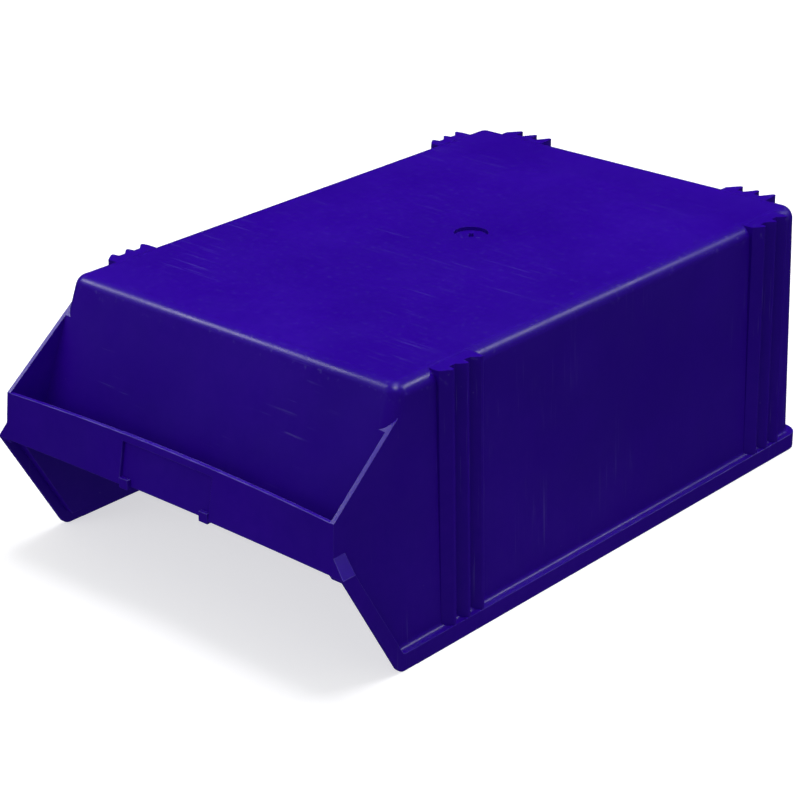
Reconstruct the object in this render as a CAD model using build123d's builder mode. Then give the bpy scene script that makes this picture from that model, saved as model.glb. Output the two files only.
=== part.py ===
from build123d import *
import os
from math import cos, radians, tan

os.makedirs("parts", exist_ok=True)

# The bin is drawn turned over, resting on its rim. Lengths are in mm. X runs across the
# bin, Y from the pick front to the rear, Z from the rim plane up to the outer floor.

# Overall sizes, the length taken over the rear ribs
overall_length = 504.0
overall_width = 310.0
overall_height = 185.0
wall = 3.0

# Tub: the tapered walls and the floor
side_draft = 6.5
floor_setback = 62.0
panel_angle = 19.3
rear_draft = 1.0
floor_edge_radius = 9.5
corner_radius = 10.0
corner_land = 1.5

# Stacking rim stepped outward from the walls, and the posts that carry it up the front
rim_step = 5.0
rim_height = 12.0
rim_cove = 4.0
rim_corner_radius = 14.0
rim_setback = 51.0
rim_toe_radius = 9.0
post_width = 11.0
post_cap_height = 12.0

# Front lip with its label field
lip_bottom = 84.0
lip_height = 33.5
lip_lean = 2.3
lip_bow_bottom = 2.5
lip_bow_top = 6.4
label_half_width = 40.0
label_margin = 5.0
label_depth = 2.0
label_frame = 4.0
tab_width = 8.0
tab_height = 5.0
tab_drop = 2.0

# Wings: the side walls running forward of the front panel
wing_setback = 61.0
wing_drop = 20.0

# Ribs, in six groups of three, leaning in less than the side walls do
rib_depth = 5.0
rib_lean = 4.5
rear_rib_stand = 4.0
rib_ramp_first = 8.0
rib_ramp = 6.5
rib_crest = 2.0
rib_return = 1.0
rib_pitch = 13.8
rib_count = 3
rib_blend = 0.7
rib_top_gap = 0.5
side_ribs_front_setback = 96.5
side_ribs_rear_inset = 67.0
rear_ribs_right = 82.5
rear_ribs_left = -120.0

# Gate mark: a round boss in the floor with a dish and the stub of the sprue
gate_x = 6.0
gate_setback = 297.0
gate_boss_radius = 15.0
gate_boss_height = 5.5
gate_dish_radius = 12.0
gate_dish_depth = 2.5
gate_stub_radius = 1.6

# Positions that follow from the sizes
front_y = -overall_length / 2
rear_y = overall_length / 2 - rear_rib_stand
rim_length = rear_y - front_y
rim_middle = (front_y + rear_y) / 2
half_width = overall_width / 2
wall_half_low = half_width - rim_step
wall_half_high = wall_half_low - side_draft
side_taper = (wall_half_low - wall_half_high) / overall_height
rear_low = rear_y - rim_step
rear_taper = rear_draft / overall_height
rib_taper = rib_lean / overall_height
floor_front = front_y + floor_setback
panel_slope = tan(radians(panel_angle))
panel_run = wall / cos(radians(panel_angle))
panel_foot = floor_front - overall_height * panel_slope
rim_front = front_y + rim_setback
lip_top = lip_bottom + lip_height
wing_y = front_y + wing_setback
wing_top = overall_height - wing_drop
post_slope = rim_setback / lip_bottom
cap_top = lip_bottom + post_cap_height
reach = 2 * overall_length
all_x = (-half_width, half_width)
all_z = (0, overall_height)


def half_width_at(z):
    return wall_half_low - side_taper * z


def prism_x(points):
    """Solid with a side-view outline (Y, Z), as wide as the whole bin."""
    with BuildPart() as solid:
        with BuildSketch(Plane.YZ.offset(-half_width)):
            with BuildLine():
                Polyline(*points, close=True)
            make_face()
        extrude(amount=overall_width)
    return solid.part


def prism_y(points, start, length):
    """Solid with an end-view outline (X, Z), running along Y."""
    with BuildPart() as solid:
        with BuildSketch(Plane.XZ.offset(-start)):
            with BuildLine():
                Polyline(*points, close=True)
            make_face()
        extrude(amount=-length)
    return solid.part


def tapered_band(inset):
    """Everything between the two side-wall faces moved in by inset."""
    low = half_width_at(-reach / 2) - inset
    high = half_width_at(reach / 2) - inset
    outline = [(-low, -reach / 2), (low, -reach / 2), (high, reach / 2), (-high, reach / 2)]
    return prism_y(outline, -reach / 2, reach)


def tub(inset, bottom, edge_radius, side_radius):
    """Tapered tub with rounded edges, its faces moved in by inset."""
    top = overall_height - inset
    front = panel_foot + inset / cos(radians(panel_angle))
    rear = rear_low - inset
    outline = [
        (front + bottom * panel_slope, bottom),
        (rear - bottom * rear_taper, bottom),
        (rear - top * rear_taper, top),
        (front + top * panel_slope, top),
    ]
    with BuildPart() as form:
        add(prism_x(outline))
        add(tapered_band(inset), mode=Mode.INTERSECT)
        fillet(form.edges().filter_by(lambda e: e.bounding_box().size.Z > overall_height / 2), side_radius)
        fillet(form.faces().sort_by(Axis.Z)[-1].edges(), edge_radius)
    return form.part


def strip(offset, width, top):
    """Outline of a band along the slanted front edge, starting offset behind it."""
    near = rim_front + offset
    rise = top * post_slope
    return [(near, 0), (near - rise, top), (near + width - rise, top), (near + width, 0)]


def lip_layer(front, back):
    """Bowed layer across the bin between two depths behind the lip's front face."""
    with BuildPart() as layer:
        for z, lean, bow in ((lip_bottom, 0, lip_bow_bottom), (lip_top, lip_lean, lip_bow_top)):
            end = half_width_at(z) - wall
            near = front_y + lean + front
            far = front_y + lean + back
            with BuildSketch(Plane.XY.offset(z)):
                with BuildLine():
                    ThreePointArc((-end, near), (0, near + bow), (end, near))
                    Line((end, near), (end, far))
                    ThreePointArc((end, far), (0, far + bow), (-end, far))
                    Line((-end, far), (-end, near))
                make_face()
        loft()
    return layer.part


def block(x_limits, y_limits, z_limits):
    """Rectangular solid between pairs of limits."""
    limits = (x_limits, y_limits, z_limits)
    with BuildPart() as solid:
        with Locations(tuple(sum(pair) / 2 for pair in limits)):
            Box(*(pair[1] - pair[0] for pair in limits))
    return solid.part


def common(first, second):
    """The part two solids share."""
    with BuildPart() as solid:
        add(first)
        add(second, mode=Mode.INTERSECT)
    return solid.part


outer_tub = tub(0, 0, floor_edge_radius, corner_radius)
inner_tub = tub(wall, -wall, floor_edge_radius - wall, corner_radius - wall)
outer_band = tapered_band(0)
inner_band = tapered_band(wall)
core_band = tapered_band(corner_radius + corner_land)

# Flat side walls reaching forward to the slanted edge, the lip's end and the wing's edge
flat_sides = common(
    prism_x(
        [
            (rim_front, 0),
            (front_y, lip_bottom),
            (front_y + lip_lean, lip_top),
            (wing_y, wing_top),
            (wing_y, 0),
        ]
    ),
    outer_band,
)

# Everything that belongs to the walls and not to the rim or its posts
wall_zone = prism_x(
    [
        (front_y + post_width, lip_bottom),
        (front_y - 1, lip_bottom),
        (front_y - 1, overall_height + 1),
        (rear_y + 1, overall_height + 1),
        (rear_y + 1, rim_height),
        (rim_front + post_width - rim_height * post_slope, rim_height),
    ]
)

# The open space between the side walls below the lip, and the same as high as the post caps
pick_gap = common(block(all_x, (front_y - 1, wing_y), (-1, lip_bottom)), inner_band)
post_gap = common(block(all_x, (front_y - 1, wing_y), (-1, cap_top + 1)), inner_band)

# Sloping caps of the posts, their front in line with the leaning lip
cap_half = half_width_at(cap_top)
cap_front = front_y + lip_lean * post_cap_height / lip_height
cap_back = front_y + post_width
post_caps = common(
    prism_y(
        [(-half_width, lip_bottom), (half_width, lip_bottom), (cap_half, cap_top), (-cap_half, cap_top)],
        front_y,
        post_width,
    ),
    prism_x([(front_y, lip_bottom), (cap_front, cap_top), (cap_back, cap_top), (cap_back, lip_bottom)]),
)

# Skirt: the stepped rim and its posts, with a cove where they meet the walls
with BuildPart() as envelope:
    with BuildSketch(Plane.XY) as rim_plan:
        with Locations((0, rim_middle)):
            Rectangle(overall_width, rim_length)
        fillet(rim_plan.vertices().group_by(Axis.Y)[-1], rim_corner_radius)
    extrude(amount=rim_height)
    add(prism_x(strip(0, reach, rim_height)), mode=Mode.INTERSECT)
    add(prism_x(strip(0, post_width, lip_bottom)))
    add(post_caps)
    fillet(envelope.edges().filter_by(Axis.X).group_by(Axis.Z)[0].sort_by(Axis.Y)[0], rim_toe_radius)
    add(outer_tub)
    add(flat_sides)
    seam = envelope.edges().filter_by(
        lambda e: e.bounding_box().min.Z > rim_height - 0.1
        and e.bounding_box().max.Z < lip_bottom + 0.1
        and e.bounding_box().size.X < overall_width - 1
        and e.bounding_box().max.Y < rear_y - 0.5
        and abs(e.center().X) < half_width - 0.5
        and e.center().Y + e.center().Z * post_slope > rim_front + post_width / 2
    )
    fillet(seam, rim_cove)
    add(prism_x(strip(-reach, reach, lip_bottom)), mode=Mode.SUBTRACT)

with BuildPart() as skirt:
    add(envelope.part)
    add(common(outer_tub, wall_zone), mode=Mode.SUBTRACT)
    add(common(flat_sides, wall_zone), mode=Mode.SUBTRACT)
    add(inner_tub, mode=Mode.SUBTRACT)
    add(post_gap, mode=Mode.SUBTRACT)
    with BuildSketch(Plane.XY.offset(-1)) as pocket_plan:
        with Locations((0, rim_middle)):
            Rectangle(overall_width - 2 * wall, rim_length - 2 * wall)
        fillet(pocket_plan.vertices().group_by(Axis.Y)[-1], rim_corner_radius - wall)
    extrude(amount=rim_height - wall + 1, mode=Mode.SUBTRACT)
    post_pocket = prism_x(strip(-post_width, 2 * post_width - wall, lip_bottom - wall))
    post_pocket_width = (wall - half_width, half_width - wall)
    post_pocket_zone = block(post_pocket_width, (front_y - post_width, wing_y), (-1, lip_bottom))
    add(common(post_pocket, post_pocket_zone), mode=Mode.SUBTRACT)

# Shell of the tub, open below the lip, with the flat side walls and wings
panel_low = panel_foot + lip_bottom * panel_slope
panel_high = panel_foot + wing_top * panel_slope
panel_ends = common(
    prism_x(
        [
            (panel_low, lip_bottom),
            (panel_high, wing_top),
            (panel_high + panel_run, wing_top),
            (panel_low + panel_run, lip_bottom),
        ]
    ),
    flat_sides,
)
with BuildPart() as shell:
    add(flat_sides)
    add(inner_band, mode=Mode.SUBTRACT)
    add(outer_tub)
    add(inner_tub, mode=Mode.SUBTRACT)
    add(pick_gap, mode=Mode.SUBTRACT)
    add(panel_ends)
    add(wall_zone, mode=Mode.INTERSECT)

# Split lines between the floor and the walls
floor_start = floor_front + floor_edge_radius * tan(radians(45 - panel_angle / 2)) + corner_land
floor_end = rear_low - rear_draft - floor_edge_radius - corner_land
gate_y = front_y + gate_setback

# Floor, with a round hole for the gate boss
with BuildPart() as floor_panel:
    add(shell.part)
    add(core_band, mode=Mode.INTERSECT)
    add(block(all_x, (floor_start, floor_end), all_z), mode=Mode.INTERSECT)
    with Locations((gate_x, gate_y, overall_height)):
        Cylinder(gate_boss_radius, 4 * wall, mode=Mode.SUBTRACT)
floor_panel.part.label = "floor_panel"
export_step(floor_panel.part, "parts/floor_panel.step")

# Gate boss: sunk dish with the sprue stub standing in it
with BuildPart() as gate_boss:
    boss_bottom = overall_height - gate_boss_height
    with Locations((gate_x, gate_y, boss_bottom)):
        Cylinder(gate_boss_radius, gate_boss_height, align=(Align.CENTER, Align.CENTER, Align.MIN))
    with Locations((gate_x, gate_y, overall_height - gate_dish_depth)):
        Cylinder(
            gate_dish_radius,
            gate_dish_depth,
            align=(Align.CENTER, Align.CENTER, Align.MIN),
            mode=Mode.SUBTRACT,
        )
        Cylinder(gate_stub_radius, gate_dish_depth, align=(Align.CENTER, Align.CENTER, Align.MIN))
gate_boss.part.label = "gate_boss"
export_step(gate_boss.part, "parts/gate_boss.step")

# Front panel, sloping from the floor down to the ledge
with BuildPart() as front_panel:
    add(shell.part)
    add(core_band, mode=Mode.INTERSECT)
    add(block(all_x, (front_y, floor_start), all_z), mode=Mode.INTERSECT)
front_panel.part.label = "front_panel"
export_step(front_panel.part, "parts/front_panel.step")

# Rear wall between the rounded corners
with BuildPart() as rear_wall:
    add(shell.part)
    add(core_band, mode=Mode.INTERSECT)
    add(block(all_x, (floor_end, rear_y), all_z), mode=Mode.INTERSECT)
rear_wall.part.label = "rear_wall"
export_step(rear_wall.part, "parts/rear_wall.step")

# Side walls with their wings, the rounded corners and the rounded floor edge
with BuildPart() as left_side_wall:
    add(shell.part)
    add(core_band, mode=Mode.SUBTRACT)
    add(block((-half_width, 0), (front_y, rear_y), all_z), mode=Mode.INTERSECT)
left_side_wall.part.label = "left_side_wall"
export_step(left_side_wall.part, "parts/left_side_wall.step")

with BuildPart() as right_side_wall:
    mirror(left_side_wall.part, about=Plane.YZ)
right_side_wall.part.label = "right_side_wall"
export_step(right_side_wall.part, "parts/right_side_wall.step")

# Posts: the stepped edge from the lip down to the rounded toe of the rim
post_reach = post_width + rim_cove + 1
post_zone = prism_x(
    [
        (front_y - 1, -1),
        (front_y - 1, cap_top + 1),
        (front_y + post_reach, cap_top + 1),
        (front_y + post_reach, lip_bottom),
        (rim_front + post_reach, 0),
        (rim_front + post_reach, -1),
    ]
)
with BuildPart() as left_post:
    add(skirt.part)
    add(post_zone, mode=Mode.INTERSECT)
    add(block((-half_width, 0), (front_y, rear_y), all_z), mode=Mode.INTERSECT)
left_post.part.label = "left_post"
export_step(left_post.part, "parts/left_post.step")

with BuildPart() as right_post:
    mirror(left_post.part, about=Plane.YZ)
right_post.part.label = "right_post"
export_step(right_post.part, "parts/right_post.step")

# Stacking rim along the sides and across the rear
rim_corner_inset = half_width - rim_corner_radius
with BuildPart() as left_rim:
    add(skirt.part)
    add(post_zone, mode=Mode.SUBTRACT)
    add(block((-half_width, -rim_corner_inset), (front_y, rear_y), all_z), mode=Mode.INTERSECT)
left_rim.part.label = "left_rim"
export_step(left_rim.part, "parts/left_rim.step")

with BuildPart() as right_rim:
    mirror(left_rim.part, about=Plane.YZ)
right_rim.part.label = "right_rim"
export_step(right_rim.part, "parts/right_rim.step")

with BuildPart() as rear_rim:
    add(skirt.part)
    add(block((-rim_corner_inset, rim_corner_inset), (0, rear_y), all_z), mode=Mode.INTERSECT)
rear_rim.part.label = "rear_rim"
export_step(rear_rim.part, "parts/rear_rim.step")

# Front lip: a bowed band, stepped back at the label field with a frame of the same thickness
label_top = lip_top - label_margin
frame_half_width = label_half_width + label_frame
label_layers = (
    (lip_layer(wall, wall + label_depth), frame_half_width, label_top + label_frame, Mode.ADD),
    (lip_layer(-1, label_depth), label_half_width, label_top, Mode.SUBTRACT),
)
with BuildPart() as front_lip:
    add(lip_layer(0, wall))
    for layer, reach_x, layer_top, mode in label_layers:
        limits = block((-reach_x, reach_x), (front_y - wall, wing_y), (0, layer_top))
        add(common(layer, limits), mode=mode)
front_lip.part.label = "front_lip"
export_step(front_lip.part, "parts/front_lip.step")

# Ledge joining the lip to the front panel
ledge_top = lip_bottom + wall
with BuildPart() as lip_ledge:
    ledge_outline = [
        (front_y + wall, lip_bottom),
        (front_y + wall, ledge_top),
        (panel_low + wall * panel_slope, ledge_top),
        (panel_low, lip_bottom),
    ]
    add(common(prism_x(ledge_outline), inner_band))
    add(lip_layer(-wall, wall), mode=Mode.SUBTRACT)
    add(front_lip.part, mode=Mode.SUBTRACT)
lip_ledge.part.label = "lip_ledge"
export_step(lip_ledge.part, "parts/lip_ledge.step")

# Label stops at the lower corners of the label field
stop_front = front_y + lip_bow_bottom - 0.3
for side, limits in (
    ("left", (-label_half_width, tab_width - label_half_width)),
    ("right", (label_half_width - tab_width, label_half_width)),
):
    with BuildPart() as label_stop:
        add(block(limits, (stop_front, stop_front + wall), (lip_bottom - tab_drop, lip_bottom + tab_height)))
        add(front_lip.part, mode=Mode.SUBTRACT)
    label_stop.part.label = f"{side}_label_stop"
    export_step(label_stop.part, f"parts/{side}_label_stop.step")


def rib_profile(side, depth):
    """Plan outline of a group of ribs: each ramps out, then drops back to the wall."""
    outline = [(0, -floor_edge_radius * side)]
    for number in range(rib_count):
        crest = rib_ramp_first + number * rib_pitch
        start = 0 if number == 0 else crest - rib_ramp
        outline += [
            (start, 0),
            (crest - rib_crest / 2, depth * side),
            (crest + rib_crest / 2, depth * side),
            (crest + rib_crest / 2 + rib_return, 0),
        ]
    return outline + [(outline[-1][0], -floor_edge_radius * side)]


# The side ribs stand on the rim. The rear ribs stand prouder and pass behind it to the rim plane.
front_start = front_y + side_ribs_front_setback
rear_start = rear_y - side_ribs_rear_inset
within_rim = block((-overall_width, overall_width), (front_y, rear_y), (0, rim_height))
left_wall = ((0, 1, 0), (rib_taper, 0, 1), 1, rib_depth)
right_wall = ((0, 1, 0), (-rib_taper, 0, 1), -1, rib_depth)
back_wall = ((1, 0, 0), (0, -rear_taper, 1), 1, rim_step + rear_rib_stand)
groups = (
    ("left_front_ribs", (-wall_half_low, front_start, 0), left_wall),
    ("left_rear_ribs", (-wall_half_low, rear_start, 0), left_wall),
    ("right_front_ribs", (wall_half_low, front_start, 0), right_wall),
    ("right_rear_ribs", (wall_half_low, rear_start, 0), right_wall),
    ("back_left_ribs", (rear_ribs_left, rear_low, 0), back_wall),
    ("back_right_ribs", (rear_ribs_right, rear_low, 0), back_wall),
)
for name, foot, (along, up, side, depth) in groups:
    with BuildPart() as ribs:
        with BuildSketch(Plane(origin=foot, x_dir=along, z_dir=up)) as rib_plan:
            with BuildLine():
                Polyline(*rib_profile(side, depth), close=True)
            make_face()
            fillet(rib_plan.vertices().filter_by(lambda v: v.Y * side > rib_depth / 2), rib_blend)
        extrude(amount=overall_height, both=True)
        split(bisect_by=Plane.XY.offset(overall_height - rib_top_gap), keep=Keep.BOTTOM)
        split(bisect_by=Plane.XY, keep=Keep.TOP)
        add(outer_tub, mode=Mode.SUBTRACT)
        add(skirt.part, mode=Mode.SUBTRACT)
        add(within_rim, mode=Mode.SUBTRACT)
    ribs.part.label = name
    export_step(ribs.part, f"parts/{name}.step")
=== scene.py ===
import math

import bpy
import numpy as np
from mathutils import Matrix, Vector


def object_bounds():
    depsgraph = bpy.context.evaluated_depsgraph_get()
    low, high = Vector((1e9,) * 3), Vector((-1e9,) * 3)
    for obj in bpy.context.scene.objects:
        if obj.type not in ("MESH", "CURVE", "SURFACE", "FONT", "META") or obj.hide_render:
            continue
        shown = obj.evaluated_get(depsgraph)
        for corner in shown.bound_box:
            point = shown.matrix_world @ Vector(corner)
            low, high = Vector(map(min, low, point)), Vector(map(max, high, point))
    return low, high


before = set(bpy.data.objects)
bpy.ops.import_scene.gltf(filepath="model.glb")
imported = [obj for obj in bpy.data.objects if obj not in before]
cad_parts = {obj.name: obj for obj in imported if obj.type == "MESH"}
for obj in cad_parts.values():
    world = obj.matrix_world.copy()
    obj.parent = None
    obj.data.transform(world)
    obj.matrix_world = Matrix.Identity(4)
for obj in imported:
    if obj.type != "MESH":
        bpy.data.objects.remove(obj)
cad_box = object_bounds()

# Edges whose faces turn by more than CREASE_ANGLE are sharp. A sharp outward edge is rounded over by
# EDGE_ROUND unless another node's surface is within TOUCH. Points within WELD of each other are joined.
CREASE_ANGLE = math.radians(32)
EDGE_ROUND = 0.0005
EDGE_SEGMENTS = 3
TOUCH = 0.0002
WELD = 0.000001

# Polypropylene: its dye from dark to light, and how far rubbed places turn to the pale colour.
# On the rounded edges the pale colour is partly wear and partly a painted highlight
DYE_DARK = "#240086"
DYE_LIGHT = "#28018e"
DYE_MOTTLE = "#360a9c"
RUBBED_AND_HIGHLIGHT_PALE = "#7468b8"
REFRACTION = 1.49
SHINE = 0.07
SCUFF_WEAR = 0.16
EDGE_WEAR_AND_HIGHLIGHT = 0.5
GRAIN_DEPTH = 0.0002
WAVE_DEPTH = 0.0012

# The floor the bin stands on, and the room around it
FLOOR_HALF = 30.0
FLOOR_GLOW = 0.62
ROOM_LIGHT = 0.44

# Viewpoint: where the camera stands and the turn from the frame's axes to its own
CAMERA_PLACE = (1.0042, -1.1824, 0.7558)
CAMERA_TURN = (1.8648, 0.7280, -0.5026)
FOCAL_WIDTHS = 2426.57 / 800
SENSOR = 36.0
CENTRE_SHIFT = (0.1269, -0.0568)


def linear(hex_colour, alpha=1.0):
    """sRGB hex colour as linear values: each channel through the sRGB curve."""
    channels = np.array([int(hex_colour[i : i + 2], 16) for i in (1, 3, 5)]) / 255
    low = channels / 12.92
    high = ((channels + 0.055) / 1.055) ** 2.4
    return (*np.where(channels <= 0.04045, low, high), alpha)


def put(tree, kind, links=(), sockets=(), **settings):
    """Adds a node: settings are its properties, sockets its input values, links its input links."""
    node = tree.nodes.new(kind)
    for name, value in settings.items():
        setattr(node, name, value)
    for name, value in dict(sockets).items():
        node.inputs[name].default_value = value
    for name, source in dict(links).items():
        tree.links.new(source, node.inputs[name])
    return node


def new_material(name):
    """An empty node material with its shader and output, and the object's own coordinates."""
    material = bpy.data.materials.new(name)
    material.use_nodes = True
    tree = material.node_tree
    tree.nodes.clear()
    shader = put(tree, "ShaderNodeBsdfPrincipled")
    put(tree, "ShaderNodeOutputMaterial", {"Surface": shader.outputs["BSDF"]})
    place = put(tree, "ShaderNodeTexCoord").outputs["Object"]
    return material, tree, shader, place


def band(tree, value, low, high, start, end):
    """A value carried from one range to another, held at both ends."""
    limits = {"From Min": low, "From Max": high, "To Min": start, "To Max": end}
    return put(tree, "ShaderNodeMapRange", {"Value": value}, limits, clamp=True).outputs["Result"]


def product(tree, first, second, operation="MULTIPLY"):
    """A value put together with another or with a number, multiplied unless another operation is named."""
    node = put(tree, "ShaderNodeMath", {0: first}, operation=operation)
    if isinstance(second, float):
        node.inputs[1].default_value = second
    else:
        tree.links.new(second, node.inputs[1])
    return node.outputs["Value"]


def noise(tree, place, scale, detail=2.0, stretch=None, turn=(0, 0, 0)):
    """Noise with a given number of grains to the metre, drawn out along one way if a stretch is given."""
    if stretch:
        place = put(tree, "ShaderNodeMapping", {"Vector": place}, {"Scale": stretch, "Rotation": turn})
        place = place.outputs["Vector"]
    sockets = {"Scale": scale, "Detail": detail}
    return put(tree, "ShaderNodeTexNoise", {"Vector": place}, sockets).outputs["Fac"]


def tint(tree, share, first, second):
    """One colour turning to another as the share goes from nought to one. Each is hex or a node's colour."""
    mix = put(tree, "ShaderNodeMix", {"Factor": share}, data_type="RGBA")
    for socket, colour in ((mix.inputs["A"], first), (mix.inputs["B"], second)):
        if isinstance(colour, str):
            socket.default_value = linear(colour)
        else:
            tree.links.new(colour, socket)
    return mix.outputs["Result"]


def scratches(tree, place, turn, least):
    """Fine scuffs a few centimetres long and about a millimetre wide, in patches where the bin was slid."""
    hairs = band(tree, noise(tree, place, 1.0, 3.0, (16, 900, 16), turn), 0.655, 0.70, 0.0, 1.0)
    patches = band(tree, noise(tree, place, 13.0, 2.0), least, least + 0.12, 0.0, 1.0)
    return product(tree, hairs, patches)


def specks(tree, place, scale, size, least):
    """Knocks and dust: dots of the given size in metres round scattered points, in some places only."""
    cells = put(tree, "ShaderNodeTexVoronoi", {"Vector": place}, {"Scale": scale})
    dots = band(tree, cells.outputs["Distance"], size * scale * 0.5, size * scale, 1.0, 0.0)
    patches = band(tree, noise(tree, place, 17.0, 2.0), least, least + 0.06, 0.0, 1.0)
    return product(tree, dots, patches)


def moulded_polypropylene(name, edge_wear_and_highlight):
    """Blue polypropylene injection moulded in a blasted steel tool: evenly dyed and satin, with a faint
    grain from the tool, slow waves from shrinking as it cooled, and paler scuffs from handling. With an
    edge share it also pales the edges, partly from wear and partly as a painted highlight where they face up."""
    material, tree, shader, place = new_material(name)
    shader.inputs["IOR"].default_value = REFRACTION
    shader.inputs["Specular IOR Level"].default_value = SHINE

    cloud = band(tree, noise(tree, place, 9.0, 3.0), 0.35, 0.65, 0.0, 1.0)
    dye = tint(tree, cloud, DYE_DARK, DYE_LIGHT)
    mottle = band(tree, noise(tree, place, 150.0, 4.0), 0.3, 0.7, 0.0, 1.0)
    dye = tint(tree, product(tree, mottle, band(tree, cloud, 0.0, 1.0, 0.08, 0.22)), dye, DYE_MOTTLE)

    one_way = scratches(tree, place, (0.2, 0.3, 0.5), 0.50)
    other_way = scratches(tree, place, (0.1, 0.2, -1.1), 0.54)
    scuff = product(tree, one_way, other_way, "MAXIMUM")
    scuff = product(tree, scuff, specks(tree, place, 90.0, 0.0007, 0.56), "MAXIMUM")
    height = put(tree, "ShaderNodeSeparateXYZ", {"Vector": place}).outputs["Z"]
    # Strongest on the rounded edge of the floor, weaker on the floor itself
    rising = band(tree, height, 0.172, 0.180, 0.0, 1.0)
    edge = product(tree, rising, band(tree, height, 0.1835, 0.1848, 1.0, 0.25))
    rubbed = product(tree, edge, band(tree, noise(tree, place, 260.0, 4.0), 0.60, 0.72, 0.0, 1.0))
    wear_and_highlight = product(tree, product(tree, scuff, rubbed, "MAXIMUM"), SCUFF_WEAR)
    if edge_wear_and_highlight:
        # Rounded edges paler: in patches from wear by handling, and a painted highlight that is strongest
        # where they face up
        normal = put(tree, "ShaderNodeNewGeometry").outputs["Normal"]
        facing = put(tree, "ShaderNodeSeparateXYZ", {"Vector": normal})
        painted_highlight_upward = band(tree, facing.outputs["Z"], 0.15, 0.75, 0.15, 1.0)
        patches = band(tree, noise(tree, place, 70.0, 3.0), 0.40, 0.60, 0.25, 1.0)
        whitened_and_highlit = product(tree, product(tree, painted_highlight_upward, patches), edge_wear_and_highlight)
        wear_and_highlight = product(tree, wear_and_highlight, whitened_and_highlit, "MAXIMUM")
    tree.links.new(tint(tree, wear_and_highlight, dye, RUBBED_AND_HIGHLIGHT_PALE), shader.inputs["Base Color"])

    sheen = band(tree, noise(tree, place, 30.0, 4.0), 0.3, 0.7, 0.29, 0.37)
    tree.links.new(product(tree, sheen, wear_and_highlight, "ADD"), shader.inputs["Roughness"])

    # Tool grain is 0.2 to 0.4 mm across and drawn at about 1 mm so that it shows
    grain = noise(tree, place, 1100.0, 3.0)
    skin = put(tree, "ShaderNodeBump", {"Height": grain}, {"Strength": 0.25, "Distance": GRAIN_DEPTH})
    waves = {"Height": noise(tree, place, 22.0, 1.0), "Normal": skin.outputs["Normal"]}
    relief = put(tree, "ShaderNodeBump", waves, {"Strength": 0.5, "Distance": WAVE_DEPTH})
    tree.links.new(relief.outputs["Normal"], shader.inputs["Normal"])
    return material


# The moulding: one body, whose free outward edges are rounded over as the tool leaves them
def whole_moulding():
    """All the CAD nodes in one mesh with each triangle's node number, for the modifiers to measure to. It is
    in no collection, so it is never seen. The nodes' points follow one another, and each node's triangles are
    numbered on from the points before it."""
    points, triangles, owners, base = [], [], [], 0
    for number, node in enumerate(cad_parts.values()):
        mesh = node.data
        flat = np.empty(len(mesh.vertices) * 3, np.float32)
        mesh.vertices.foreach_get("co", flat)
        corners = np.empty(len(mesh.loops), np.int32)
        mesh.loops.foreach_get("vertex_index", corners)
        points.append(flat.reshape(-1, 3))
        triangles.append(corners.reshape(-1, 3) + base)
        owners.append(np.full(len(mesh.polygons), number, np.int32))
        base += len(mesh.vertices)
    mesh = bpy.data.meshes.new("whole_moulding")
    mesh.from_pydata(np.concatenate(points), [], np.concatenate(triangles))
    mesh.attributes.new("owner", "INT", "FACE").data.foreach_set("value", np.concatenate(owners))
    return bpy.data.objects.new("whole_moulding", mesh)


def node_group(name):
    """An empty geometry node group that takes a shape and gives one, with its two ends."""
    tree = bpy.data.node_groups.new(name, "GeometryNodeTree")
    tree.is_modifier = True
    tree.interface.new_socket("Geometry", in_out="INPUT", socket_type="NodeSocketGeometry")
    tree.interface.new_socket("Geometry", in_out="OUTPUT", socket_type="NodeSocketGeometry")
    return tree, put(tree, "NodeGroupInput"), put(tree, "NodeGroupOutput")


def free_edge_weights(whole):
    """Joins the triangles up and gives weight 1 to each edge that is sharp, points outward, and has no other
    node's surface at its middle. The node's own number says which triangles of the whole are left out."""
    tree, start, end = node_group("free_edge_weights")
    tree.interface.new_socket("Own Number", in_out="INPUT", socket_type="NodeSocketInt")
    welded = put(tree, "GeometryNodeMergeByDistance", {"Geometry": start.outputs[0]}, {"Distance": WELD})
    others = put(tree, "GeometryNodeObjectInfo", {}, {"Object": whole}).outputs["Geometry"]
    owner = put(tree, "GeometryNodeInputNamedAttribute", {}, {"Name": "owner"}, data_type="INT")
    numbers = {2: owner.outputs[0], 3: start.outputs["Own Number"]}
    own = put(tree, "FunctionNodeCompare", numbers, data_type="INT", operation="EQUAL")
    removed = {"Geometry": others, "Selection": own.outputs[0]}
    others = put(tree, "GeometryNodeDeleteGeometry", removed, domain="FACE")
    near = put(tree, "GeometryNodeProximity", {"Geometry": others.outputs[0]}, target_element="FACES")
    distance = {0: near.outputs["Distance"]}
    free = put(tree, "FunctionNodeCompare", distance, {1: TOUCH}, operation="GREATER_THAN")
    turn = put(tree, "GeometryNodeInputMeshEdgeAngle").outputs["Signed Angle"]
    sharp = put(tree, "FunctionNodeCompare", {0: turn}, {1: CREASE_ANGLE}, operation="GREATER_THAN")
    tests = {0: free.outputs[0], 1: sharp.outputs[0]}
    both = put(tree, "FunctionNodeBooleanMath", tests, operation="AND")
    weighted = {"Geometry": welded.outputs[0], "Value": both.outputs[0]}
    name = {"Name": "bevel_weight_edge"}
    stored = put(tree, "GeometryNodeStoreNamedAttribute", weighted, name, data_type="FLOAT", domain="EDGE")
    tree.links.new(stored.outputs[0], end.inputs[0])
    return tree


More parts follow.
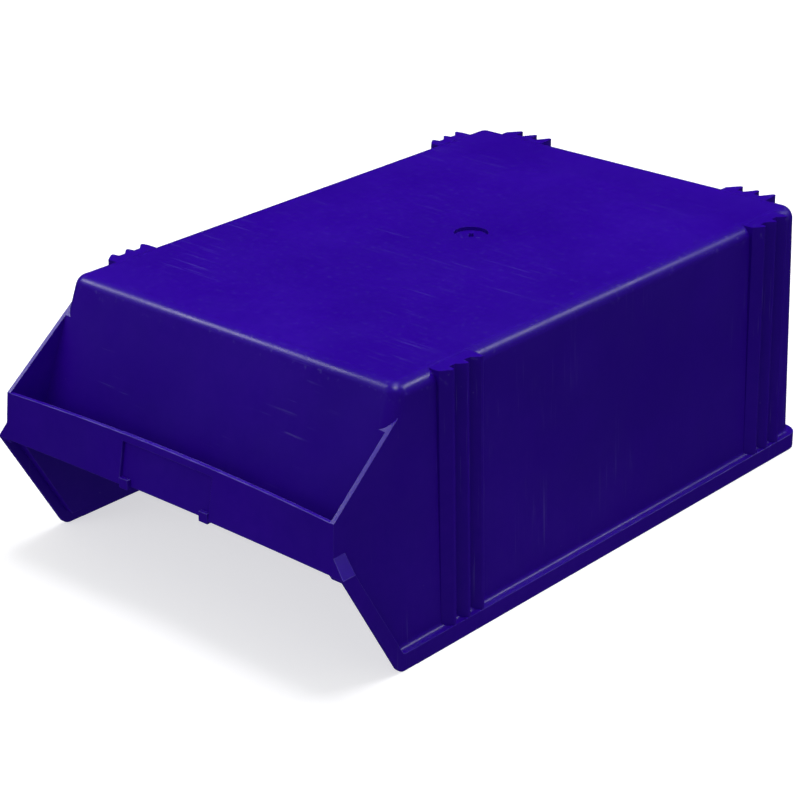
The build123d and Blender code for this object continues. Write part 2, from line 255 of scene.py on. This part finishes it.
def smooth_to_crease():
    """Every face shaded smooth, every edge that turns by more than the crease angle kept sharp."""
    tree, start, end = node_group("smooth_to_crease")
    shape = {"Geometry": start.outputs[0]}
    faces = put(tree, "GeometryNodeSetShadeSmooth", shape, {"Shade Smooth": True}, domain="FACE")
    turn = put(tree, "GeometryNodeInputMeshEdgeAngle").outputs["Unsigned Angle"]
    sharp = put(tree, "FunctionNodeCompare", {0: turn}, {1: CREASE_ANGLE}, operation="GREATER_THAN")
    creased = {"Geometry": faces.outputs[0], "Selection": sharp.outputs[0]}
    edges = put(tree, "GeometryNodeSetShadeSmooth", creased, {"Shade Smooth": False}, domain="EDGE")
    tree.links.new(edges.outputs[0], end.inputs[0])
    return tree


polypropylene = moulded_polypropylene("polypropylene_moulded_blue", 0.0)
worn_and_highlit_edges = moulded_polypropylene("polypropylene_moulded_blue_rubbed_painted_highlight", EDGE_WEAR_AND_HIGHLIGHT)
weights = free_edge_weights(whole_moulding())
smooth = smooth_to_crease()
own_number = weights.interface.items_tree["Own Number"].identifier
for number, node in enumerate(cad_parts.values()):
    measure = node.modifiers.new("free_edges", "NODES")
    measure.node_group = weights
    measure[own_number] = number
    bevel = node.modifiers.new("rounded_edges", "BEVEL")
    bevel.limit_method, bevel.width, bevel.segments = "WEIGHT", EDGE_ROUND, EDGE_SEGMENTS
    shade = node.modifiers.new("smooth_faces", "NODES")
    shade.node_group = smooth
    flat = node.modifiers.new("flat_faces_stay_flat", "WEIGHTED_NORMAL")
    flat.keep_sharp = True
    for place in node.material_slots:
        place.material = polypropylene
    # The rounded-over edges take the second material: wear and a painted highlight on them
    node.data.materials.append(worn_and_highlit_edges)
    bevel.material = len(node.material_slots) - 1


# Floor: a plain pale board, wide enough to fill every view
def flat_sheet(name, half, height):
    """Square of the given half side at one height: x and y run over a two by two grid."""
    side = np.array([-half, half])
    x, y = np.meshgrid(side, side)
    points = np.stack([x.ravel(), y.ravel(), np.full(4, height)], axis=1)
    mesh = bpy.data.meshes.new(name)
    mesh.from_pydata(points.tolist(), [], [(0, 1, 3, 2)])
    sheet = bpy.data.objects.new(name, mesh)
    bpy.context.scene.collection.objects.link(sheet)
    return sheet


def painted_board():
    """Floor board painted matt white and lit from below, which keeps the shadow on it faint."""
    material, _, shader, _ = new_material("board_painted_white")
    shader.inputs["Base Color"].default_value = linear("#c8c8ca")
    shader.inputs["Roughness"].default_value = 0.9
    shader.inputs["Specular IOR Level"].default_value = 0.0
    shader.inputs["Emission Color"].default_value = linear("#ffffff")
    shader.inputs["Emission Strength"].default_value = FLOOR_GLOW
    return material


floor = flat_sheet("floor", FLOOR_HALF, cad_box[0][2])
floor.data.materials.append(painted_board())
floor.visible_glossy = False
floor.visible_diffuse = False


def area_light(name, place, target, size, power, lights=True, shines=False):
    """Rectangular soft light looking at a point. It lights surfaces, shines in them, or both."""
    lamp = bpy.data.lights.new(name, "AREA")
    lamp.shape = "RECTANGLE"
    lamp.size, lamp.size_y = size
    lamp.energy = power
    light = bpy.data.objects.new(name, lamp)
    aim = Vector(target) - Vector(place)
    light.matrix_world = Matrix.Translation(place) @ aim.to_track_quat("-Z", "Y").to_matrix().to_4x4()
    light.visible_diffuse = lights
    light.visible_glossy = shines
    bpy.context.scene.collection.objects.link(light)


# Soft light: a wide overhead box behind the bin and a fill at the front left
area_light("overhead", (0.1, 0.3, 2.2), (0.0, 0.0, 0.1), (1.6, 1.2), 42)
area_light("front_fill", (-0.9, -2.2, 1.2), (0.0, 0.0, 0.1), (1.4, 1.0), 11)
# Reflections: the box overhead, faint, and narrow lamps that pick out the rounded edges
area_light("overhead_shine", (0.3, 0.2, 2.2), (0.0, 0.0, 0.1), (1.3, 1.0), 18, False, True)
area_light("corner_glint", (0.78, -0.50, 2.27), (0.145, -0.19, 0.18), (0.3, 0.3), 85, False, True)
area_light("rim_glint", (1.2, 1.5, 1.5), (0.1, 0.0, 0.0), (0.5, 0.3), 45, False, True)
area_light("wing_glint", (-1.4, -0.8, 1.5), (0.1, -0.2, 0.1), (0.4, 0.4), 40, False, True)

world = bpy.data.worlds.new("room")
bpy.context.scene.world = world
world.use_nodes = True
world.node_tree.nodes["Background"].inputs["Color"].default_value = linear("#ffffff")
world.node_tree.nodes["Background"].inputs["Strength"].default_value = ROOM_LIGHT
world.cycles_visibility.glossy = False

# Camera
turn = Vector(CAMERA_TURN)
rotation = Matrix.Rotation(turn.length, 3, turn.normalized())
facing = Matrix((rotation[0], -rotation[1], -rotation[2])).transposed()
lens = bpy.data.cameras.new("camera")
lens.sensor_width = SENSOR
lens.lens = FOCAL_WIDTHS * SENSOR
lens.shift_x, lens.shift_y = CENTRE_SHIFT
lens.clip_end = 200.0
camera = bpy.data.objects.new("camera", lens)
camera.matrix_world = Matrix.Translation(CAMERA_PLACE) @ facing.to_4x4()
bpy.context.scene.collection.objects.link(camera)
bpy.context.scene.camera = camera
bpy.context.scene.view_settings.view_transform = "Standard"
